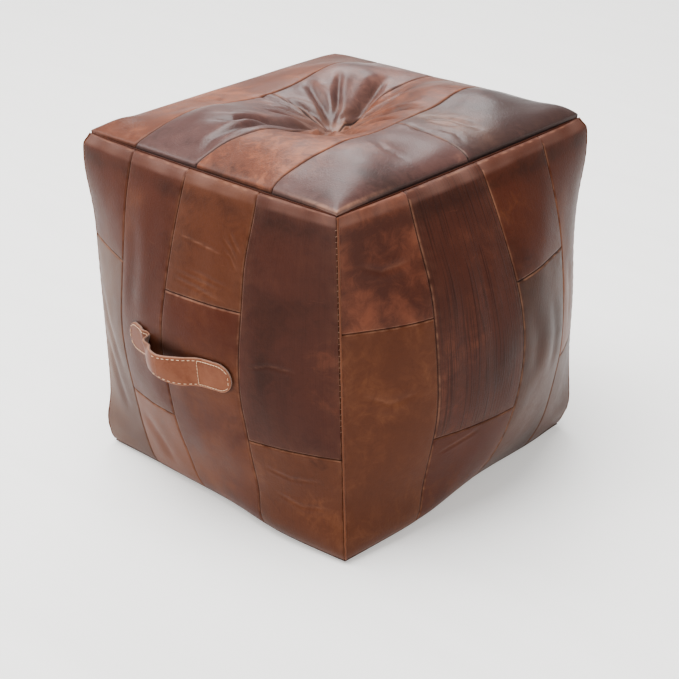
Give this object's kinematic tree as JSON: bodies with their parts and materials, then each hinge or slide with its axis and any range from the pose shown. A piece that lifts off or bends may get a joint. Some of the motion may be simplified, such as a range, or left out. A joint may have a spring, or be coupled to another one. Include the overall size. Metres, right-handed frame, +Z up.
{
  "type": "leather pouf",
  "caption": "Cube-shaped stuffed footstool of stitched patchwork leather with a tufted top, a short strap handle on the side and a zipped base.",
  "frame": {"origin": "middle of the base, on the floor", "axes": "+Z up; the face with the strap handle looks along -Y; +X is to the right of somebody who faces the handle"},
  "size_m": [0.505, 0.5232, 0.41],
  "materials": {
    "leather_cognac": "satin, worn",
    "leather_chestnut": "satin, worn",
    "leather_chocolate": "satin, worn",
    "leather_taupe": "satin, worn",
    "leather_tan": "satin, worn",
    "leather_mauve": "glossy, worn",
    "leather_strap": "satin, worn",
    "leather_suede": "matte flesh side",
    "thread": "waxed",
    "twine": "matte",
    "calico": "matte",
    "wadding": "matte",
    "zip_tape": "woven",
    "zip_metal": "aged",
    "disc_wood": "turned, unfinished"
  },
  "bodies": {
    "pouf": {"front_patch_1_lower": "leather_taupe", "front_patch_1_upper": "leather_chestnut", "front_patch_2_lower": "leather_tan", "front_patch_2_upper": "leather_chestnut", "front_patch_3_lower": "leather_chestnut", "front_patch_3_upper": "leather_cognac", "front_patch_4_lower": "leather_cognac", "front_patch_4_upper": "leather_chocolate", "right_patch_1_lower": "leather_cognac", "right_patch_1_upper": "leather_chocolate", "right_patch_2_lower": "leather_chestnut", "right_patch_2_upper": "leather_chocolate", "right_patch_3_lower": "leather_taupe", "right_patch_3_upper": "leather_chestnut", "right_patch_4_lower": "leather_taupe", "right_patch_4_upper": "leather_chestnut", "back_patch_1_lower": "leather_chestnut", "back_patch_1_upper": "leather_chocolate", "back_patch_2_lower": "leather_taupe", "back_patch_2_upper": "leather_cognac", "back_patch_3_lower": "leather_tan", "back_patch_3_upper": "leather_chestnut", "back_patch_4_lower": "leather_chocolate", "back_patch_4_upper": "leather_taupe", "left_patch_1_lower": "leather_taupe", "left_patch_1_upper": "leather_chestnut", "left_patch_2_lower": "leather_chocolate", "left_patch_2_upper": "leather_cognac", "left_patch_3_lower": "leather_chestnut", "left_patch_3_upper": "leather_taupe", "left_patch_4_lower": "leather_cognac", "left_patch_4_upper": "leather_chocolate", "top_patch_1": "leather_chestnut", "top_patch_2_front": "leather_mauve", "top_patch_2_back": "leather_mauve", "top_patch_3": "leather_chestnut", "top_patch_4_front": "leather_mauve", "top_patch_4_back": "leather_mauve", "base_front_panel": "leather_chocolate", "base_back_panel": "leather_chocolate", "zip_end_tabs": "leather_chocolate", "liner_bag": "calico", "filling": "wadding", "tuft_anchor": "disc_wood", "tuft_twine": "twine", "zip_tape_front": "zip_tape", "zip_tape_back": "zip_tape", "zip_teeth_front": "zip_metal", "zip_teeth_back": "zip_metal", "zip_stops": "zip_metal", "handle_end_left": "leather_strap", "handle_end_right": "leather_strap", "handle_end_stitches": "thread", "corner_seam_threads": "thread", "rim_seam_threads": "thread"},
    "slider": {"zip_slider": "zip_metal"},
    "pull": {"zip_pull": "zip_metal"},
    "handle": {"handle_grip": "leather_strap", "handle_lining": "leather_suede", "handle_grip_stitches": "thread"}
  },
  "joints": [
    {"name": "zip_slide", "type": "slide", "parent": "pouf", "child": "slider", "axis": [1, 0, 0], "range_m": [0, 0.2844]},
    {"name": "pull_swing", "type": "hinge", "parent": "slider", "child": "pull", "pos_m": [-0.1422, 0.09, 0.0032], "axis": [0, 1, 0], "range_deg": [0, 120]},
    {"name": "handle_lift", "type": "hinge", "parent": "pouf", "child": "handle", "pos_m": [-0.0115, -0.2455, 0.187], "axis": [-1, 0, 0], "range_deg": [0, 25]}
  ]
}
